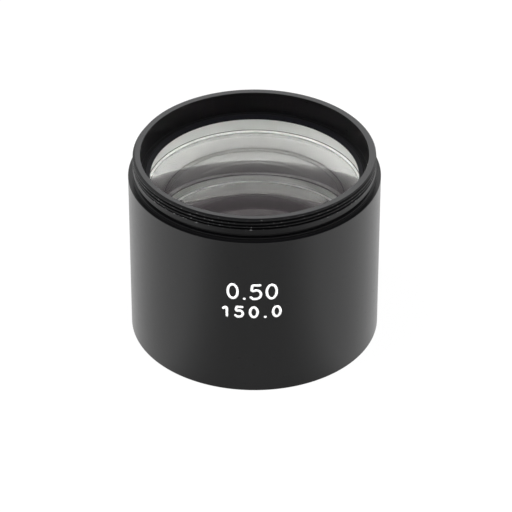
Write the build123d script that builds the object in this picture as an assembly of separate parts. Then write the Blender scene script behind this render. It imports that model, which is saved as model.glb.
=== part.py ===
"""Screw-on auxiliary objective for a stereo microscope: a short black tube with two lenses.

All sizes are in millimetres. The tube stands on its open base at Z = 0, with its axis on +Z
and its threaded nose on top. Every piece is turned, so each one is a profile in the XZ plane
that is revolved about Z. Radii follow the thread by named steps and walls, and the stack of
ring, lenses and spacer is measured down from the rim.
"""

import os

from build123d import *

# Nose, which carries an M48 x 0.75 male thread in the stretch above the land
thread_radius = 24.0
nose_height = 4.76  # shoulder to rim
nose_wall = 1.5
rim_chamfer = 0.25
bore_edge_break = 0.12

# Collar and relief between the shoulder and the thread
collar_step = 0.08  # by which the collar stands out from the thread
collar_height = 0.5
relief_ramp = 0.2
relief_depth = 0.55
relief_width = 0.65
relief_slope = 0.12  # height of the small cone below the land

# Body
shoulder_width = 1.0  # by which the body stands out from the thread
body_height = 35.1  # base to shoulder
base_chamfer = 0.3
shoulder_edge_break = 0.12

# Inside of the tube: counterbore, lens bore, seat of the lower lens and recess below it
counterbore_depth = 4.66
counterbore_step = 0.8
step_edge_break = 0.08
seat_ledge = 1.5
seat_lip_thickness = 1.15
seat_bevel = 0.5
base_wall = 3.0
recess_edge_break = 0.4

# Glass, with a ground edge and ground bevels
lens_clearance = 0.1
upper_edge_thickness = 7.83
upper_concave_radius = 67.4
upper_top_bevel = 0.85
upper_low_bevel = 0.55
lower_edge_thickness = 9.8
lower_convex_radius = 150.0
lower_concave_radius = 68.0
lower_top_bevel = 0.5
lower_low_bevel = 0.75

# Spacer tube, with an inward lip that rests on the lower lens
spacer_clearance = 0.1
spacer_wall = 0.6
spacer_height = 6.61
spacer_lip = 0.56
spacer_land = 0.48  # height of the lip's inner edge

# Retaining ring, level with the floor of the counterbore
ring_clearance = 0.06
ring_height = 0.58
ring_width = 1.0
ring_flat = 0.14  # width of its top
ring_edge = 0.23  # height of its inner edge

body_radius = thread_radius + shoulder_width
counterbore_radius = thread_radius - nose_wall
lens_bore_radius = counterbore_radius - counterbore_step
lens_radius = lens_bore_radius - lens_clearance
spacer_radius = lens_bore_radius - spacer_clearance
spacer_bore_radius = spacer_radius - spacer_wall
spacer_lip_radius = spacer_bore_radius - spacer_lip


def sagitta(sphere_radius, chord_radius):
    """Depth of a spherical face between its pole and the circle of chord_radius."""
    return sphere_radius - (sphere_radius**2 - chord_radius**2) ** 0.5


rim_height = body_height + nose_height
counterbore_floor = rim_height - counterbore_depth
upper_edge_top = counterbore_floor - ring_height
upper_edge_base = upper_edge_top - upper_edge_thickness
spacer_base = upper_edge_base - spacer_height
# The lip touches the convex face at its own inner edge, a little above the edge of the glass.
lip_rise = sagitta(lower_convex_radius, lens_radius - lower_top_bevel) - sagitta(
    lower_convex_radius, spacer_lip_radius
)
lower_edge_top = spacer_base - lip_rise
seat_height = lower_edge_top - lower_edge_thickness


def turned(outline):
    """Solid of revolution about Z of a closed outline, given as lines in the XZ plane."""
    with BuildPart() as piece:
        with BuildSketch(Plane.XZ):
            with BuildLine():
                outline()
            make_face()
        revolve(axis=Axis.Z)
    return piece.part


def barrel():
    """The one-piece tube, walked up its outside and down its inside."""
    collar_radius = thread_radius + collar_step
    collar_top = body_height + collar_height
    relief_radius = thread_radius - relief_depth
    relief_low = collar_top + relief_ramp
    relief_high = relief_low + relief_width
    aperture_radius = lens_bore_radius - seat_ledge
    lip_base = seat_height - seat_lip_thickness
    recess_radius = body_radius - base_wall

    def outline():
        Polyline(
            (recess_radius + recess_edge_break, 0),
            (body_radius - base_chamfer, 0),
            (body_radius, base_chamfer),
            (body_radius, body_height - shoulder_edge_break),
            (body_radius - shoulder_edge_break, body_height),
            (collar_radius, body_height),
            (collar_radius, collar_top),
            (relief_radius, relief_low),
            (relief_radius, relief_high - relief_slope),
            (thread_radius, relief_high),
            (thread_radius, rim_height - rim_chamfer),
            (thread_radius - rim_chamfer, rim_height),
            (counterbore_radius + bore_edge_break, rim_height),
            (counterbore_radius, rim_height - bore_edge_break),
            (counterbore_radius, counterbore_floor),
            (lens_bore_radius + step_edge_break, counterbore_floor),
            (lens_bore_radius, counterbore_floor - step_edge_break),
            (lens_bore_radius, seat_height),
            (aperture_radius, seat_height),
            (aperture_radius, lip_base + seat_bevel),
            (aperture_radius + seat_bevel, lip_base),
            (recess_radius, lip_base),
            (recess_radius, recess_edge_break),
            close=True,
        )

    return turned(outline)


def lens(edge_base, edge_thickness, top_bevel, low_bevel, convex_radius, concave_radius):
    """A lens with its hollow face down: ground edge, two bevels, and a flat or convex top.

    edge_base is the height of its lowest circle. A convex_radius of 0 means a flat top.
    """
    top_radius = lens_radius - top_bevel
    low_radius = lens_radius - low_bevel
    edge_top = edge_base + edge_thickness
    pole_top = edge_top + (sagitta(convex_radius, top_radius) if convex_radius else 0)
    pole_base = edge_base + sagitta(concave_radius, low_radius)

    def outline():
        if convex_radius:
            on_top = (top_radius / 2, pole_top - sagitta(convex_radius, top_radius / 2))
            ThreePointArc((0, pole_top), on_top, (top_radius, edge_top))
        else:
            Line((0, pole_top), (top_radius, edge_top))
        Polyline(
            (top_radius, edge_top),
            (lens_radius, edge_top - top_bevel),
            (lens_radius, edge_base + low_bevel),
            (low_radius, edge_base),
        )
        below = (low_radius / 2, pole_base - sagitta(concave_radius, low_radius / 2))
        ThreePointArc((low_radius, edge_base), below, (0, pole_base))
        Line((0, pole_base), (0, pole_top))

    return turned(outline)


def spacer_tube():
    """The thin tube that parts the lenses, with the bevelled lip that masks the lower one."""
    land_top = spacer_base + spacer_land

    def outline():
        Polyline(
            (spacer_lip_radius, spacer_base),
            (spacer_radius, spacer_base),
            (spacer_radius, upper_edge_base),
            (spacer_bore_radius, upper_edge_base),
            (spacer_bore_radius, land_top + spacer_lip),
            (spacer_lip_radius, land_top),
            close=True,
        )

    return turned(outline)


def retaining_ring():
    """The thin ring that holds the glass down, with a wide bevel from its top to its inner edge."""
    outer = lens_bore_radius - ring_clearance
    inner = outer - ring_width

    def outline():
        Polyline(
            (inner, upper_edge_top),
            (outer, upper_edge_top),
            (outer, counterbore_floor),
            (outer - ring_flat, counterbore_floor),
            (inner, upper_edge_top + ring_edge),
            close=True,
        )

    return turned(outline)


pieces = {
    "barrel": barrel(),
    "lower_lens": lens(
        seat_height,
        lower_edge_thickness,
        lower_top_bevel,
        lower_low_bevel,
        lower_convex_radius,
        lower_concave_radius,
    ),
    "spacer_tube": spacer_tube(),
    "upper_lens": lens(
        upper_edge_base, upper_edge_thickness, upper_top_bevel, upper_low_bevel, 0, upper_concave_radius
    ),
    "retaining_ring": retaining_ring(),
}

os.makedirs("parts", exist_ok=True)
for name, solid in pieces.items():
    export_step(solid, f"parts/{name}.step")
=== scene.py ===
"""Screw-on auxiliary objective of a stereo microscope, standing on a white table.

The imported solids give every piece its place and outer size. Each turned piece is drawn again as a
fine surface of revolution with the edge rounding, the nose thread and the ground glass edges that
the plain solids leave out. Lengths are millimetres until a mesh or a material is made.
"""
import math

import bpy
import numpy as np
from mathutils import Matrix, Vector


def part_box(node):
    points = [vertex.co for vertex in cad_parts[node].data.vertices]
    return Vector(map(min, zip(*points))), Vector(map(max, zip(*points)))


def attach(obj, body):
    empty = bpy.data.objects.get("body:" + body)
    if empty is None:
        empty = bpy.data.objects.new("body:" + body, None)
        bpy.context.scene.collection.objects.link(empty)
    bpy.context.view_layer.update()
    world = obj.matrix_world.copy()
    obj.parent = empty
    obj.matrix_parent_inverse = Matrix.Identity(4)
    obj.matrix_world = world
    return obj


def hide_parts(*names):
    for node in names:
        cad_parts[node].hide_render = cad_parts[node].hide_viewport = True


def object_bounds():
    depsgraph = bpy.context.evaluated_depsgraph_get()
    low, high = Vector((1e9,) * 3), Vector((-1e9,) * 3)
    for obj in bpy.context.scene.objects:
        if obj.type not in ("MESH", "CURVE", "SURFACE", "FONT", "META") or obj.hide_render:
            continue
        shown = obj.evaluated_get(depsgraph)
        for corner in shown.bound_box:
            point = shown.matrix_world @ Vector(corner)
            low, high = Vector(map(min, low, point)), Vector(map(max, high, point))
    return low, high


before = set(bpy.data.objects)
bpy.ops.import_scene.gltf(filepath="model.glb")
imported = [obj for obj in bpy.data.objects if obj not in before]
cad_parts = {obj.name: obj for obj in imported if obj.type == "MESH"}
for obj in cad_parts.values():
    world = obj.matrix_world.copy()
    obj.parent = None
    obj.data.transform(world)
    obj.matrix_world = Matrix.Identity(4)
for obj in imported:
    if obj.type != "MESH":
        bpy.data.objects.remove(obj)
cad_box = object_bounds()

MM = 0.001
COLUMNS = 400  # facets round a turned piece
CORNER_STEPS = 5  # points on a rounded corner
FACE_STEPS = 60  # points on a spherical face, from the axis to its edge

# Tube, outside
BODY_RADIUS = 24.985  # under the solid's 25, so that the print on it stays inside the solid's size
SHOULDER_HEIGHT = 35.1
BASE_ROUNDING = 0.3
SHOULDER_ROUNDING = 0.1
COLLAR_RADIUS = 24.08
COLLAR_HEIGHT = 0.5
RELIEF_RADIUS = 23.45
RELIEF_START = 0.7  # above the shoulder, as RELIEF_END is
RELIEF_END = 1.35
RELIEF_SLOPE = 0.12
THREAD_RADIUS = 24.0
LAND_RADIUS = THREAD_RADIUS - 0.0001  # tells the plain land's rows from the thread's
RIM_CHAMFER = 0.25
RIM_STEP = 0.02  # from the chamfer to the first row of the rim's flat
RIM_INNER_ROUNDING = 0.12

# Thread on the nose
PITCH = 0.75
THREAD_DEPTH = 0.46
CREST_HALF = 0.07
FLANK_WIDTH = 0.2
FLANK_SOFTNESS = 0.3  # 0 for a straight flank, 1 for a fully rounded one
THREAD_LOW = 37.5  # top of the plain land, where the groove starts without depth
THREAD_FADE = 0.2  # height over which the groove reaches its depth
LAND_END = 0.1  # below THREAD_LOW, where the rounded profile of the land stops
THREAD_START = 0.05  # below THREAD_LOW, where the thread's rows start
ROWS_PER_PITCH = 20

# Tube, inside
COUNTERBORE_RADIUS = 22.5
LENS_BORE_RADIUS = 21.7
SEAT_APERTURE_RADIUS = 20.2
SEAT_LIP_THICKNESS = 1.15
SEAT_BEVEL = 0.5
RECESS_RADIUS = 22.0
RECESS_ROUNDING = 0.4
BASE_START = 0.5  # from the recess's rounding to where the profile starts on the base
BASE_END = 0.4  # and to where it ends
NOSE_FINISH_END = 1.0  # above the seat, down to which the bore has the nose's finish

# Glass
UPPER_BEVELS = 0.85, 0.55  # above and below
UPPER_CONCAVE_RADIUS = 67.4
LOWER_BEVELS = 0.5, 0.75
LOWER_CONVEX_RADIUS = 150.0
LOWER_CONCAVE_RADIUS = 68.0
FACE_GAP = 0.002  # keeps a bevel's first point apart from the face's last
GLASS_IOR = 1.517
GROUND_IOR = 1.3
CORNER_LINE = 0.16  # half width of the dark line along a ground corner

# Spacer tube and retaining ring
SPACER_WALL = 0.6
SPACER_LIP = 0.56
SPACER_LAND = 0.48
RING_WIDTH = 1.0
RING_FLAT = 0.14
RING_EDGE = 0.23

# Printed numerals on the front of the body
PRINT_RADIUS = 24.997
PRINT_THICKNESS = 0.03
PRINT_STROKE = 0.5
PRINT_CENTRE = -0.45  # along the body, to the right of the front
PRINT_STEP = 0.25  # between two points of a stroke
HEAD_STEPS = 6  # points on a stroke's round head
HEAD_END = math.pi / 2 - 0.02  # angle of its last point, just short of a sharp tip
SIGN_WIDTHS = {"0": 0.52, "5": 0.52, "1": 0.3, ".": 0.08}  # shares of the cap height
DOT_HALF = 0.04
ONE_CORNERS = (-0.2, 0.72), (0.05, 1), (0.05, 0)  # shares of the cap height and of the line's height
ONE_ROUNDING = 0.26
FIVE_CORNERS = ((0.42, 1), (-0.36, 1), (-0.44, 0.52), (0, 0.64),  # shares of the width and the height
                (0.5, 0.62), (0.5, 0), (-0.3, 0), (-0.5, 0.12))
FIVE_BOWL = 0.3  # share of the cap height

# Finishes
ANODISED_BLACK = 0.002, 0.002, 0.0023, 1
# grey of the worn nicks on the crests, painted light as glints, and of the painted sheen on the rim's flat
WORN_AND_SHEEN_GREY = 0.12, 0.12, 0.122, 1
CREST_NICKS_AND_GLINTS = 0.7  # share of the grey on the thread's crests: worn nicks, painted light as glints
RIM_PAINTED_SHEEN = 0.24  # and on the rim's flat, a painted sheen that lightens the top face
BODY_GLOSS = 0.5
NOSE_GLOSS = 0.3
MATT_BLACKS = (0.0015, 0.0015, 0.0022, 1), (0.003, 0.003, 0.0042, 1)
LIP_PAINTED_GLINT = 0.11, 0.105, 0.105, 1  # painted glint, a lighter grey on the bevel of the spacer's lip
BEVEL_BLEND = 0.01  # half width of the bevel's two ends
COATING_TINT = 0.14, 0.05, 0.09, 1
GROUND_WHITES = (0.80, 0.81, 0.78, 1), (0.9, 0.905, 0.88, 1)
CORNER_DARK = 0.03, 0.03, 0.03, 1
PRINT_WHITES = (0.84, 0.84, 0.84, 1), (0.92, 0.92, 0.92, 1)
TURNING_RELIEF = 0.0012  # height of the turning lines on the barrel
MATT_RELIEF = 0.001
GROUND_RELIEF = 0.002
PRINT_RELIEF = 0.001

# Table and surroundings
WHITE = 1, 1, 1, 1
TABLE_HALF = 3000.0
TABLE_SHARE = 0.93  # of plain white in the table as the camera and mirrored rays see it
TABLE_PAPER = 0.8, 0.8, 0.8, 1
TABLE_PAINTED_SHADOW = 0.1, 0.1, 0.1, 1  # painted shadow under the piece
FOOTPRINT = 23.6, 25.0  # radii between which the table brightens from its painted shadow at the tube's foot
FRONT_SECTOR = 0.62, 0.985  # cosines of the angle from the front at the soft edge of the painted shade's sector
FRONT_REACH = 120.0, 300.0  # radii between which the painted shade's sector ends
FRONT_PAINTED_SHADE = 0.42  # painted shade on the table straight in front, for mirrored rays
SKY_HEIGHTS = 0.6, 0.9  # sines of the elevation between which the sky dims
SKY_TOP = 0.3  # the sky overhead, for mirrored rays
FILL = 0.35  # strength of the surroundings for rays that light a surface

# Lamps
SOFTBOX_DISTANCE = 0.9  # metres
SOFTBOXES = [  # name, azimuth from the front, elevation, size in metres, watts
    ("front_softbox", 0, 42, 0.6, 1.0),
    ("left_softbox", -80, 56, 0.6, 10.5),
    ("right_softbox", 82, 56, 0.6, 9.5),
]

# Camera, as fitted to the outlines in the photograph
FRAME_PIXELS = 512
FOCAL_PIXELS = 3054.65
CENTRE_X, CENTRE_Y = 254.52, 235.91  # pixel on the camera's axis
SENSOR_WIDTH = 36
CAMERA_PLACE = 0, -0.50726, 0.36240  # metres
CAMERA_PITCH = 34.02  # degrees below level


# Profiles

def node_heights(node):
    """Lowest and highest height and the largest radius of a solid, in mm."""
    low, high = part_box(node)
    return low.z / MM, high.z / MM, high.x / MM


def sagitta(sphere_radius, chord_radius):
    """Depth of a spherical face between its pole and the circle of chord_radius."""
    return sphere_radius - math.sqrt(sphere_radius**2 - chord_radius**2)


def cut_corners(corners, radii):
    """Open profile with rounded corners, as rows of radius, height, and the outward normal's two parts.

    Each inner corner P with unit directions u and v to its neighbours becomes an arc that touches
    both sides. With a the angle between u and v, the arc touches at P + t u and P + t v, where
    t = radius / tan(a / 2), its centre is P + (u + v) / |u + v| * radius / sin(a / 2), and its points
    turn evenly from one touching point to the other. The solid lies on the left of the walk.
    """
    corners = np.asarray(corners, float)
    radii = np.asarray(radii, float)[:, None]
    p = corners[1:-1]
    u = corners[:-2] - p
    v = corners[2:] - p
    u /= np.linalg.norm(u, axis=1, keepdims=True)
    v /= np.linalg.norm(v, axis=1, keepdims=True)
    half = np.arccos(np.clip((u * v).sum(1, keepdims=True), -1, 1)) / 2
    centre = p + (u + v) / np.linalg.norm(u + v, axis=1, keepdims=True) * radii / np.sin(half)
    first = p + u * radii / np.tan(half) - centre
    last = p + v * radii / np.tan(half) - centre
    turn = (np.pi - 2 * half)[:, :, None]
    s = np.linspace(0, 1, CORNER_STEPS)[None, :, None]
    spokes = (np.sin((1 - s) * turn) * first[:, None] + np.sin(s * turn) * last[:, None]) / np.sin(turn)
    points = centre[:, None] + spokes
    side = np.sign(u[:, 1] * v[:, 0] - u[:, 0] * v[:, 1])[:, None, None]
    normals = spokes / radii[:, None] * side
    rows = np.concatenate([points, normals], axis=2).reshape(-1, 4)
    ends = []
    for at, toward in ((0, corners[1] - corners[0]), (-1, corners[-1] - corners[-2])):
        along = toward / np.linalg.norm(toward)
        ends.append([*corners[at], along[1], -along[0]])
    return np.vstack([ends[:1], rows, ends[1:]])


def dome(pole_height, sphere_radius, edge_radius, outward):
    """Profile of a spherical face that drops from the axis to edge_radius.

    At radius r the height is pole_height - (R - sqrt(R^2 - r^2)), and the normal leans by r / R.
    It points up where outward is 1, as on a convex top, and the other way where it is -1, as under
    a hollow face.
    """
    r = np.linspace(0, edge_radius, FACE_STEPS)
    drop = sphere_radius - np.sqrt(sphere_radius**2 - r**2)
    lean = r / sphere_radius
    return np.stack([r, pole_height - drop, lean * outward, np.sqrt(1 - lean**2) * outward], axis=1)


def thread_rows(low, high):
    """Rows of the threaded stretch at the nose's outer radius, evenly spaced in height."""
    count = int(round((high - low) / PITCH * ROWS_PER_PITCH))
    z = np.linspace(low, high, count)
    return np.stack([np.full_like(z, THREAD_RADIUS), z, np.ones_like(z), np.zeros_like(z)], axis=1)


def thread_radius(z, turn, rim):
    """Radius of the nose at height z and angle turn.

    The distance to the nearest crest line of the helix z = pitch * (n + turn / 2 pi) gives the depth:
    none within the crest's half width, then a softened flank to the full depth. The groove fades
    out above the plain land, and the rim's chamfer cuts everything that stands outside its cone.
    """
    away = PITCH / 2 - PITCH * np.abs((z / PITCH - turn / (2 * np.pi)) % 1 - 0.5)
    flank = np.clip((away - CREST_HALF) / FLANK_WIDTH, 0, 1)
    flank = (1 - FLANK_SOFTNESS) * flank + FLANK_SOFTNESS * flank * flank * (3 - 2 * flank)
    fade = np.clip((z - THREAD_LOW) / THREAD_FADE, 0, 1)
    cut = THREAD_DEPTH * flank * fade * fade * (3 - 2 * fade)
    cone = THREAD_RADIUS - np.maximum(z - (rim - RIM_CHAMFER), 0)
    return np.minimum(THREAD_RADIUS - cut, cone)


# Meshes

def finish_mesh(name, points, normals, faces, finish=None):
    """Mesh object from point and normal arrays in mm and a list of face arrays, riding on the body."""
    mesh = bpy.data.meshes.new(name)
    sizes = np.concatenate([np.full(len(f), f.shape[1]) for f in faces])
    corners = np.concatenate([f.ravel() for f in faces])
    mesh.vertices.add(len(points))
    mesh.vertices.foreach_set("co", (points * MM).ravel())
    mesh.loops.add(len(corners))
    mesh.loops.foreach_set("vertex_index", corners)
    mesh.polygons.add(len(sizes))
    mesh.polygons.foreach_set("loop_start", np.concatenate([[0], np.cumsum(sizes)[:-1]]))
    mesh.polygons.foreach_set("loop_total", sizes)
    if finish is not None:
        mesh.polygons.foreach_set("material_index", finish)
    mesh.update(calc_edges=True)
    mesh.validate()
    mesh.polygons.foreach_set("use_smooth", np.ones(len(sizes), bool))
    if normals is not None:
        mesh.normals_split_custom_set_from_vertices(normals)
    piece = bpy.data.objects.new(name, mesh)
    bpy.context.scene.collection.objects.link(piece)
    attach(piece, "root")
    return piece


def grid_quads(rows, count, columns):
    """Quads from each of the rows to the next one, on a grid of count rows that closes both ways.

    Point (i, j) of the grid has the number i * columns + j.
    """
    i = rows[:, None]
    j = np.arange(columns)[None, :]
    up = (i + 1) % count
    along = (j + 1) % columns
    corners = (i, j), (i, along), (up, along), (up, j)
    return np.stack([(row * columns + column).ravel() for row, column in corners], axis=1)


def turned(name, rows, shape=None, finish=None):
    """Closed surface of revolution of a profile's rows.

    Point (i, j) is (r cos a, r sin a, z), with r and z from row i and a = 2 pi j / COLUMNS. A closed
    profile joins its last row to its first. One that starts and ends on the axis gets a single
    point and a fan of triangles there. shape(z, a) may give another radius for the thread's rows,
    which are those at exactly THREAD_RADIUS, and their normal then follows its slopes.
    """
    a = np.linspace(0, 2 * np.pi, COLUMNS, endpoint=False)[None, :]
    r, z, nr, nz = (np.repeat(c[:, None], COLUMNS, axis=1) for c in rows.T)
    na = np.zeros_like(r)
    if shape is not None:
        k = np.flatnonzero((rows[:, 0] == THREAD_RADIUS) & (rows[:, 2] == 1))
        r[k] = shape(z[k], a)
        slope_z = np.gradient(r[k], rows[k, 1], axis=0)
        slope_a = (np.roll(r[k], -1, axis=1) - np.roll(r[k], 1, axis=1)) / (4 * np.pi / COLUMNS)
        length = np.sqrt(1 + slope_z**2 + (slope_a / r[k]) ** 2)
        nr[k], na[k], nz[k] = 1 / length, -slope_a / r[k] / length, -slope_z / length
        after = k[-1] + 1  # the rim's own outer edge follows the last row of the thread
        r[after] = r[k[-1]] - RIM_STEP
    points = np.stack([r * np.cos(a), r * np.sin(a), z], axis=-1).reshape(-1, 3)
    normals = np.stack([nr * np.cos(a) - na * np.sin(a), nr * np.sin(a) + na * np.cos(a), nz], axis=-1)
    normals = normals.reshape(-1, 3)
    count = len(rows)
    on_axis = rows[0, 0] < 1e-9
    if not on_axis:
        chosen = None if finish is None else np.repeat(finish, COLUMNS)
        return finish_mesh(name, points, normals, [grid_quads(np.arange(count), count, COLUMNS)], chosen)
    quads = grid_quads(np.arange(1, count - 2), count, COLUMNS)
    ring = np.arange(COLUMNS)
    next_ring = (ring + 1) % COLUMNS
    end = (count - 1) * COLUMNS
    first = np.stack([np.zeros_like(ring), COLUMNS + next_ring, COLUMNS + ring], axis=1)
    last = np.stack([np.full_like(ring, end), end - COLUMNS + ring, end - COLUMNS + next_ring], axis=1)
    keep = np.ones(len(points), bool)
    keep[1:COLUMNS] = keep[end + 1:] = False
    renumber = np.cumsum(keep) - 1
    faces = [renumber[f] for f in (first, quads, last)]
    chosen = None if finish is None else np.repeat(finish[:count - 1], COLUMNS)
    return finish_mesh(name, points[keep], normals[keep], faces, chosen)


# Materials

class Value:
    """A shader socket that carries a number, with Python's operators as Math nodes."""

    def __init__(self, finish, socket):
        self.finish = finish
        self.socket = socket

    def math(self, operation, *others):
        return self.finish.node("ShaderNodeMath", {"operation": operation}, [self, *others])

    def __add__(self, other):
        return self.math("ADD", other)

    def __radd__(self, other):
        return self.math("ADD", other)

    def __sub__(self, other):
        return self.math("SUBTRACT", other)

    def __rsub__(self, other):
        return self.finish.node("ShaderNodeMath", {"operation": "SUBTRACT"}, [other, self])

    def __mul__(self, other):
        return self.math("MULTIPLY", other)

    def __rmul__(self, other):
        return self.math("MULTIPLY", other)

    def __truediv__(self, other):
        return self.math("DIVIDE", other)

    def __rtruediv__(self, other):
        return self.finish.node("ShaderNodeMath", {"operation": "DIVIDE"}, [other, self])

    def __pow__(self, other):
        return self.math("POWER", other)

    def between(self, low, high):
        """0 below low, 1 above high, smooth in between."""
        return self.finish.node("ShaderNodeMapRange", {"interpolation_type": "SMOOTHSTEP"}, {
            "Value": self, "From Min": low, "From Max": high})


class Finish:
    """A material, or the world's surface, that is built node by node."""

    def __init__(self, name, tree=None):
        if tree is None:
            self.material = bpy.data.materials.new(name)
            self.material.use_nodes = True
            tree = self.material.node_tree
        self.tree = tree
        tree.nodes.clear()

    def node(self, kind, settings=None, values=None, output=0):
        """Adds a node: its settings first, then the values or links of its sockets."""
        made = self.tree.nodes.new(kind)
        for key, value in (settings or {}).items():
            setattr(made, key, value)
        pairs = enumerate(values) if isinstance(values, (list, tuple)) else (values or {}).items()
        for key, value in pairs:
            if isinstance(value, Value):
                self.tree.links.new(value.socket, made.inputs[key])
            else:
                made.inputs[key].default_value = value
        return Value(self, made.outputs[output])

    def place(self):
        """Object coordinates in metres, as a vector."""
        return self.node("ShaderNodeTexCoord", output="Object")

    def split(self, place):
        """The y and z of a place, and its distance from the axis."""
        outputs = self.node("ShaderNodeSeparateXYZ", values=[place]).socket.node.outputs
        x, y, z = (Value(self, outputs[k]) for k in range(3))
        return y, z, (x * x + y * y) ** 0.5

    def noise(self, vector, scale, detail=2.0):
        return self.node("ShaderNodeTexNoise", values={"Vector": vector, "Scale": scale, "Detail": detail})

    def turning_lines(self, z, r, scale):
        """Fine lines round the axis: flat noise of the distance from the axis and the height."""
        return self.node("ShaderNodeTexNoise", {"noise_dimensions": "2D"}, {
            "Vector": self.node("ShaderNodeCombineXYZ", values=[r, z, 0.0]), "Scale": scale, "Detail": 1.0})

    def blend(self, factor, first, second):
        """Colour between two others."""
        return self.node("ShaderNodeMix", {"data_type": "RGBA"}, {0: factor, 6: first, 7: second}, output=2)

    def bump(self, height, distance):
        """Normal of a relief whose height of 1 stands for a distance in mm."""
        return self.node("ShaderNodeBump", values={
            "Height": height, "Distance": distance * MM, "Strength": 1.0})

    def surface(self, **inputs):
        """Principled surface on the material's output."""
        shader = self.node("ShaderNodeBsdfPrincipled", values={
            key.replace("_", " "): value for key, value in inputs.items()})
        return self.out(shader)

    def out(self, shader, kind="ShaderNodeOutputMaterial"):
        made = self.tree.nodes.new(kind)
        self.tree.links.new(shader.socket, made.inputs["Surface"])
        return self.material if kind == "ShaderNodeOutputMaterial" else None


def black_anodised(name, gloss):
    """Satin black anodising: fine turning lines round the axis and a soft mottle.

    Small spots of the thread's crests are painted grey, worn nicks that also stand for glints, and the rim's
    flat is painted grey as a sheen of the light from above.
    """
    f = Finish(name)
    place = f.place()
    _, z, r = f.split(place)
    lines = f.turning_lines(z, r, scale=9000.0)
    mottle = f.noise(place, scale=900.0, detail=3.0)
    grain = f.noise(place, scale=14000.0, detail=1.0)
    # painted glints: small grey spots on the crests, worn nicks painted light where the threads glint
    nicks = f.noise(place, scale=2200.0).between(0.6, 0.7)
    crests = r.between((THREAD_RADIUS - 0.15) * MM, (THREAD_RADIUS - 0.05) * MM)
    threaded = z.between((THREAD_LOW - 0.4) * MM, (THREAD_LOW + 0.1) * MM)
    top = cad_box[1][2]
    # painted sheen: the rim's flat is painted lighter grey, as its top face is lit from above
    rim = z.between(top - 0.04 * MM, top - 0.01 * MM)
    wear_and_sheen = (CREST_NICKS_AND_GLINTS * (crests * threaded * nicks)).math("MAXIMUM", RIM_PAINTED_SHEEN * rim)
    colour = f.blend(wear_and_sheen, ANODISED_BLACK, WORN_AND_SHEEN_GREY)
    rough = 0.24 + 0.06 * mottle + 0.05 * lines
    relief = f.bump(0.6 * lines + 0.4 * grain, TURNING_RELIEF)
    return f.surface(Base_Color=colour, Roughness=rough, Normal=relief, IOR=1.5, Specular_IOR_Level=gloss)


def black_inner():
    """Matt black of the pieces inside the bore, with a painted glint, a lighter grey, on the bevel of the
    spacer's lip.
    """
    f = Finish("matt black aluminium")
    place = f.place()
    _, z, r = f.split(place)
    mottle = f.noise(place, scale=1500.0)
    lines = f.turning_lines(z, r, scale=6000.0)
    low, _, outer = node_heights("spacer_tube")
    starts, ends = low + SPACER_LAND, low + SPACER_LAND + SPACER_LIP
    inner = outer - SPACER_WALL
    # the bevel of the spacer's lip is painted lighter grey, a painted glint of the lamps
    above = z.between((starts - BEVEL_BLEND) * MM, (starts + BEVEL_BLEND) * MM)
    beyond = z.between((ends - BEVEL_BLEND) * MM, (ends + BEVEL_BLEND) * MM)
    outside = r.between((inner + 2 * BEVEL_BLEND) * MM, (inner + 4 * BEVEL_BLEND) * MM)
    black = f.blend(mottle, *MATT_BLACKS)
    colour = f.blend(above * (1.0 - beyond) * (1.0 - outside), black, LIP_PAINTED_GLINT)
    return f.surface(Base_Color=colour, Roughness=0.38 + 0.1 * mottle, Normal=f.bump(lines, MATT_RELIEF),
                     IOR=1.45, Specular_IOR_Level=0.2)


def polished_glass():
    """Coated and polished lens face."""
    f = Finish("coated glass")
    haze = f.noise(f.place(), scale=400.0).between(0.35, 0.7)
    return f.surface(Base_Color=(1.0, 1.0, 0.992, 1), Roughness=0.0015 * haze, IOR=GLASS_IOR,
                     Transmission_Weight=1.0, Specular_Tint=COATING_TINT)


def ground_glass():
    """Finely ground edge and bevels, seen through the glass as a whitish band.

    A thin dark line runs where the edge meets each bevel.
    """
    f = Finish("ground glass edge")
    place = f.place()
    _, z, _ = f.split(place)
    grit = f.noise(place, scale=5000.0, detail=3.0)
    cloud = f.noise(place, scale=260.0)
    white = f.blend(0.5 * grit + 0.5 * cloud, *GROUND_WHITES)
    lines = None
    for node, (top_bevel, low_bevel), convex in (("upper_lens", UPPER_BEVELS, 0),
                                                 ("lower_lens", LOWER_BEVELS, LOWER_CONVEX_RADIUS)):
        low, high, radius = node_heights(node)
        edge_top = high - (sagitta(convex, radius - top_bevel) if convex else 0)
        for height in (low + low_bevel, edge_top - top_bevel):
            away = (z - height * MM).math("ABSOLUTE")
            line = 1.0 - away.between(CORNER_LINE / 2 * MM, CORNER_LINE * MM)
            lines = line if lines is None else lines.math("MAXIMUM", line)
    colour = f.blend(lines, white, CORNER_DARK)
    return f.surface(Base_Color=colour, Roughness=0.9, Normal=f.bump(grit, GROUND_RELIEF), IOR=GROUND_IOR)


def white_print():
    """White ink of the printed numerals, a little uneven."""
    f = Finish("white print")
    cloud = f.noise(f.place(), scale=2500.0)
    colour = f.blend(cloud, *PRINT_WHITES)
    return f.surface(Base_Color=colour, Roughness=0.45 + 0.1 * cloud, Normal=f.bump(cloud, PRINT_RELIEF))


# Pieces

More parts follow.
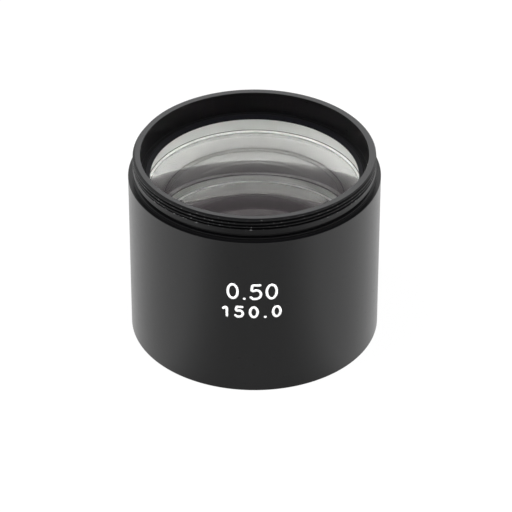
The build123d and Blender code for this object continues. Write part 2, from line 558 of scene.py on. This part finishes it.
def barrel():
    """The one-piece tube, walked up its outside and down its inside."""
    rim = node_heights("barrel")[1]
    step = node_heights("retaining_ring")[1]
    seat = node_heights("lower_lens")[0]
    lip = seat - SEAT_LIP_THICKNESS
    shoulder = SHOULDER_HEIGHT
    base = RECESS_RADIUS + RECESS_ROUNDING
    outside = cut_corners(
        [(base + BASE_START, 0), (BODY_RADIUS, 0), (BODY_RADIUS, shoulder),
         (COLLAR_RADIUS, shoulder), (COLLAR_RADIUS, shoulder + COLLAR_HEIGHT),
         (RELIEF_RADIUS, shoulder + RELIEF_START), (RELIEF_RADIUS, shoulder + RELIEF_END - RELIEF_SLOPE),
         (LAND_RADIUS, shoulder + RELIEF_END), (LAND_RADIUS, THREAD_LOW - LAND_END)],
        [BASE_ROUNDING, SHOULDER_ROUNDING, 0.04, 0.07, 0.05, 0.05, 0.05])
    thread = thread_rows(THREAD_LOW - THREAD_START, rim)
    inside = cut_corners(
        [(THREAD_RADIUS - RIM_CHAMFER - RIM_STEP, rim), (COUNTERBORE_RADIUS, rim),
         (COUNTERBORE_RADIUS, step), (LENS_BORE_RADIUS, step), (LENS_BORE_RADIUS, seat),
         (SEAT_APERTURE_RADIUS, seat), (SEAT_APERTURE_RADIUS, lip + SEAT_BEVEL),
         (SEAT_APERTURE_RADIUS + SEAT_BEVEL, lip), (RECESS_RADIUS, lip), (RECESS_RADIUS, RECESS_ROUNDING),
         (base, 0), (base + BASE_END, 0)],
        [RIM_INNER_ROUNDING, 0.05, 0.08, 0.05, 0.05, 0.04, 0.04, 0.05, 0.05, 0.05])
    rows = np.vstack([outside, thread, inside])
    past_shoulder = np.arange(len(rows)) > np.argmax(rows[:, 1] > shoulder - 0.001)
    nose = past_shoulder & (rows[:, 1] > seat + NOSE_FINISH_END)
    piece = turned("barrel_turned", rows, shape=lambda z, a: thread_radius(z, a, rim),
                   finish=nose.astype(int))
    piece.data.materials.append(black_anodised("black anodised aluminium", BODY_GLOSS))
    piece.data.materials.append(black_anodised("black anodised nose", NOSE_GLOSS))
    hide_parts("barrel")
    return piece


def lens(node, name, bevels, convex_radius, concave_radius, glass, ground):
    """A lens with its hollow face down: polished faces, and a ground edge with a bevel at each end.

    A convex_radius of 0 means a flat top.
    """
    low, high, radius = node_heights(node)
    top_bevel, low_bevel = bevels
    top_face, low_face = radius - top_bevel, radius - low_bevel
    if convex_radius:
        edge_top = high - sagitta(convex_radius, top_face)
        top = dome(high, convex_radius, top_face, 1)
    else:
        edge_top = high
        r = np.linspace(0, top_face, 3)
        top = np.stack([r, np.full(3, high), np.zeros(3), np.ones(3)], axis=1)
    under = dome(low + sagitta(concave_radius, low_face), concave_radius, low_face, -1)
    side = cut_corners([(low_face + FACE_GAP, low), (radius, low + low_bevel), (radius, edge_top - top_bevel),
                        (top_face + FACE_GAP, edge_top)], [0.05, 0.05])
    rows = np.vstack([under, side, top[::-1]])
    rough = np.zeros(len(rows), int)
    rough[len(under) - 1:len(under) + len(side)] = 1
    piece = turned(name, rows, finish=rough)
    piece.data.materials.append(glass)
    piece.data.materials.append(ground)
    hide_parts(node)
    return piece


def closed_ring(node, name, corners, radii, finish):
    """A ring of the matt black finish that is turned from a closed outline of rounded corners."""
    corners = np.asarray(corners, float)
    start = (corners[0] + corners[-1]) / 2
    walk = np.vstack([start, corners, start])
    rows = cut_corners(walk, radii)[:-1]
    piece = turned(name, rows)
    piece.data.materials.append(finish)
    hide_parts(node)
    return piece


def spacer_tube(finish):
    """Thin tube between the lenses, with a bevelled lip that stands inwards on the lower lens."""
    low, high, outer = node_heights("spacer_tube")
    inner = outer - SPACER_WALL
    lip = inner - SPACER_LIP
    land = low + SPACER_LAND
    corners = [(outer, low), (outer, high), (inner, high), (inner, land + SPACER_LIP),
               (lip, land), (lip, low)]
    roundings = [0.05, 0.05, 0.05, 0.05, 0.03, 0.03]
    return closed_ring("spacer_tube", "spacer_tube_turned", corners, roundings, finish)


def retaining_ring(finish):
    """Thin ring on the upper lens, level with the step of the bore, with a wide bevel."""
    low, high, outer = node_heights("retaining_ring")
    inner = outer - RING_WIDTH
    corners = [(outer, low), (outer, high), (outer - RING_FLAT, high), (inner, low + RING_EDGE), (inner, low)]
    roundings = [0.03, 0.04, 0.03, 0.03, 0.03]
    return closed_ring("retaining_ring", "retaining_ring_turned", corners, roundings, finish)


# Numerals

def resampled(path):
    """The same path of points and side directions at steps of about PRINT_STEP."""
    along = np.concatenate([[0], np.cumsum(np.hypot(*np.diff(path[:, :2], axis=0).T))])
    keep = np.concatenate([[True], np.diff(along) > 1e-9])
    s = np.linspace(0, along[-1], int(along[-1] / PRINT_STEP) + 2)
    s = np.unique(np.concatenate([s, along]).round(6))
    return np.stack([np.interp(s, along[keep], column[keep]) for column in path.T], axis=1)


def glyph(sign, cap):
    """Centre line of a numeral of cap height cap, as rows of x, y and side direction, and if it is closed.

    The line is one stroke's width lower than the cap height. The naught is the ellipse
    (wide / 2 cos t, high / 2 (1 + sin t)), whose side direction is along (cos t / wide, sin t / high).
    The other signs join the corners named above by straight lines with rounded corners.
    """
    high = cap - PRINT_STROKE
    wide = SIGN_WIDTHS[sign] * cap
    if sign == "0":
        t = np.linspace(0, 2 * np.pi, 41)
        x, y = np.cos(t), np.sin(t)
        across = np.stack([x / wide, y / high], axis=1)
        across /= np.linalg.norm(across, axis=1, keepdims=True)
        return np.stack([wide / 2 * x, high / 2 * (1 + y), *across.T], axis=1), True
    if sign == "1":
        return cut_corners(np.multiply(ONE_CORNERS, (cap, high)), [ONE_ROUNDING]), False
    if sign == "5":
        bowl = FIVE_BOWL * cap
        roundings = [0.26, 0.26, 0.3 * bowl, 0.8 * bowl, 0.9 * bowl, 0.3]
        return cut_corners(np.multiply(FIVE_CORNERS, (wide, high)), roundings), False
    return cut_corners([(-DOT_HALF, 0), (0, 0), (DOT_HALF, 0.0001)], [0.001]), False


def stroke(path, closed):
    """Ribbon of PRINT_STROKE width along a path, wrapped on the body's front.

    Point (i, k) lies at x, y + side * width: the two edges of the ribbon at the print's radius and
    again a print's thickness below. At an open end the width falls as a half circle's. A flat
    point x, y goes to the angle x / radius from the front, at height y.
    """
    half = PRINT_STROKE / 2
    width = np.full(len(path), half)
    if not closed:
        q = np.linspace(HEAD_END, 0, HEAD_STEPS + 1)[:-1]
        heads = []
        for end, inner in ((0, 1), (-1, -2)):
            way = path[end, :2] - path[inner, :2]
            way = way / np.linalg.norm(way)
            head = np.repeat(path[end][None], len(q), axis=0)
            head[:, :2] += way * half * np.sin(q)[:, None]
            heads.append(head)
        path = np.vstack([heads[0], path, heads[1][::-1]])
        width = np.concatenate([half * np.cos(q), width, half * np.cos(q)[::-1]])
    across = path[:, 2:] / np.linalg.norm(path[:, 2:], axis=1, keepdims=True) * width[:, None]
    edges = np.stack([path[:, :2] - across, path[:, :2] + across], axis=1)
    flat = np.concatenate([edges, edges[:, ::-1]], axis=1)
    radius = PRINT_RADIUS - np.array([0, 0, PRINT_THICKNESS, PRINT_THICKNESS])
    angle = flat[..., 0] / PRINT_RADIUS
    points = np.stack([radius * np.sin(angle), -radius * np.cos(angle), flat[..., 1]], axis=-1)
    if closed:
        count = len(points) - 1
        return points[:count].reshape(-1, 3), grid_quads(np.arange(count), count, 4)
    count = len(points)
    end = 4 * (count - 1)
    tips = [[3, 2, 1, 0], [end, end + 1, end + 2, end + 3]]
    return points.reshape(-1, 3), np.vstack([grid_quads(np.arange(count - 1), count, 4), tips])


def numerals(name, text, cap, baseline, gap, finish):
    """A line of plain numerals on the front, centred on PRINT_CENTRE, with gap between their widths."""
    left = PRINT_CENTRE - (sum(SIGN_WIDTHS[sign] * cap for sign in text) + gap * (len(text) - 1)) / 2
    points, faces, total = [], [], 0
    for sign in text:
        wide = SIGN_WIDTHS[sign] * cap
        path, closed = glyph(sign, cap)
        path = resampled(path)
        path[:, 0] += left + wide / 2
        path[:, 1] += baseline + PRINT_STROKE / 2
        sign_points, sign_faces = stroke(path, closed)
        points.append(sign_points)
        faces.append(sign_faces + total)
        total += len(sign_points)
        left += wide + gap
    piece = finish_mesh(name, np.vstack(points), None, [np.vstack(faces)])
    piece.data.materials.append(finish)
    return piece


# Table, light and camera

def sight_rays(f):
    """1 for a ray that the camera sees straight or through glass, and 1 for a mirrored one."""
    outputs = f.node("ShaderNodeLightPath").socket.node.outputs
    camera_ray, mirrored, through = (Value(f, outputs[k]) for k in (
        "Is Camera Ray", "Is Glossy Ray", "Is Transmission Ray"))
    return camera_ray.math("MAXIMUM", through), mirrored


def table():
    """A wide white table that keeps a faint shadow of what stands on it.

    Under the piece its paper is painted dark, a painted shadow, and for mirrored rays it is painted dimmer in
    the sector straight in front of it, a painted shade.
    """
    corners = TABLE_HALF * np.array([[-1, -1, 0], [1, -1, 0], [1, 1, 0], [-1, 1, 0]])
    mesh = bpy.data.meshes.new("table")
    mesh.from_pydata((corners * MM).tolist(), [], [(0, 1, 2, 3)])
    piece = bpy.data.objects.new("table", mesh)
    bpy.context.scene.collection.objects.link(piece)
    f = Finish("white table")
    y, _, r = f.split(f.place())
    seen, mirrored = sight_rays(f)
    near, far = FRONT_REACH
    # painted shade: mirrored rays see the table dimmer in the sector straight in front
    front = (y * -1.0 / r).between(*FRONT_SECTOR) * (1.0 - r.between(near * MM, far * MM))
    painted_front_shade = f.blend(mirrored * front, WHITE, (FRONT_PAINTED_SHADE, FRONT_PAINTED_SHADE, FRONT_PAINTED_SHADE, 1))
    white = f.node("ShaderNodeEmission", values={"Color": painted_front_shade, "Strength": 1.0})
    inner, outer = FOOTPRINT
    # painted shadow: the paper under the piece is painted dark
    outside = r.between(inner * MM, outer * MM)
    paper = f.node("ShaderNodeBsdfDiffuse", values={"Color": f.blend(outside, TABLE_PAINTED_SHADOW, TABLE_PAPER)})
    share = TABLE_SHARE * seen.math("MAXIMUM", mirrored) * outside
    mesh.materials.append(f.out(f.node("ShaderNodeMixShader", values=[share, paper, white])))
    return piece


def light():
    """White surroundings, dimmer overhead for mirrored rays, and an even fill on the surfaces.

    Two soft lamps stand high at the sides and a weak one in front. Mirrored rays don't see them.
    """
    world = bpy.data.worlds.new("studio")
    world.use_nodes = True
    bpy.context.scene.world = world
    f = Finish("studio", world.node_tree)
    way = f.node("ShaderNodeTexCoord", output="Generated")
    height = Value(f, f.node("ShaderNodeSeparateXYZ", values=[way]).socket.node.outputs[2])
    seen, mirrored = sight_rays(f)
    sky = f.blend(mirrored * height.between(*SKY_HEIGHTS), WHITE, (SKY_TOP, SKY_TOP, SKY_TOP, 1))
    white = f.node("ShaderNodeBackground", values={"Color": sky, "Strength": 1.0})
    dim = f.node("ShaderNodeBackground", values={"Color": WHITE, "Strength": FILL})
    f.out(f.node("ShaderNodeMixShader", values=[seen.math("MAXIMUM", mirrored), dim, white]),
          "ShaderNodeOutputWorld")
    for name, azimuth, elevation, size, watts in SOFTBOXES:
        lamp = bpy.data.lights.new(name, "AREA")
        lamp.shape = "DISK"
        lamp.size = size
        lamp.energy = watts
        holder = bpy.data.objects.new(name, lamp)
        turn, tilt = math.radians(azimuth), math.radians(elevation)
        holder.location = (SOFTBOX_DISTANCE * math.cos(tilt) * math.sin(turn),
                           -SOFTBOX_DISTANCE * math.cos(tilt) * math.cos(turn),
                           SOFTBOX_DISTANCE * math.sin(tilt))
        holder.rotation_euler = (math.pi / 2 - tilt, 0.0, turn)
        holder.visible_glossy = False
        bpy.context.scene.collection.objects.link(holder)


def camera():
    """The photograph's view, from in front and above."""
    data = bpy.data.cameras.new("camera")
    data.sensor_width = SENSOR_WIDTH
    data.lens = FOCAL_PIXELS / FRAME_PIXELS * SENSOR_WIDTH
    data.shift_x = (FRAME_PIXELS / 2 - CENTRE_X) / FRAME_PIXELS
    data.shift_y = (CENTRE_Y - FRAME_PIXELS / 2) / FRAME_PIXELS
    holder = bpy.data.objects.new("camera", data)
    holder.location = CAMERA_PLACE
    holder.rotation_euler = (math.radians(90 - CAMERA_PITCH), 0, 0)
    bpy.context.scene.collection.objects.link(holder)
    bpy.context.scene.camera = holder


def main():
    bpy.context.scene.view_settings.view_transform = "Standard"
    camera()
    light()
    table()
    barrel()
    glass, ground, matt = polished_glass(), ground_glass(), black_inner()
    lens("lower_lens", "lower_lens_ground", LOWER_BEVELS, LOWER_CONVEX_RADIUS, LOWER_CONCAVE_RADIUS,
         glass, ground)
    lens("upper_lens", "upper_lens_ground", UPPER_BEVELS, 0, UPPER_CONCAVE_RADIUS, glass, ground)
    spacer_tube(matt)
    retaining_ring(matt)
    paint = white_print()
    numerals("upper_numerals", "0.50", cap=3.7, baseline=21.9, gap=1.15, finish=paint)
    numerals("lower_numerals", "150.0", cap=2.8, baseline=17.6, gap=1.4, finish=paint)


main()
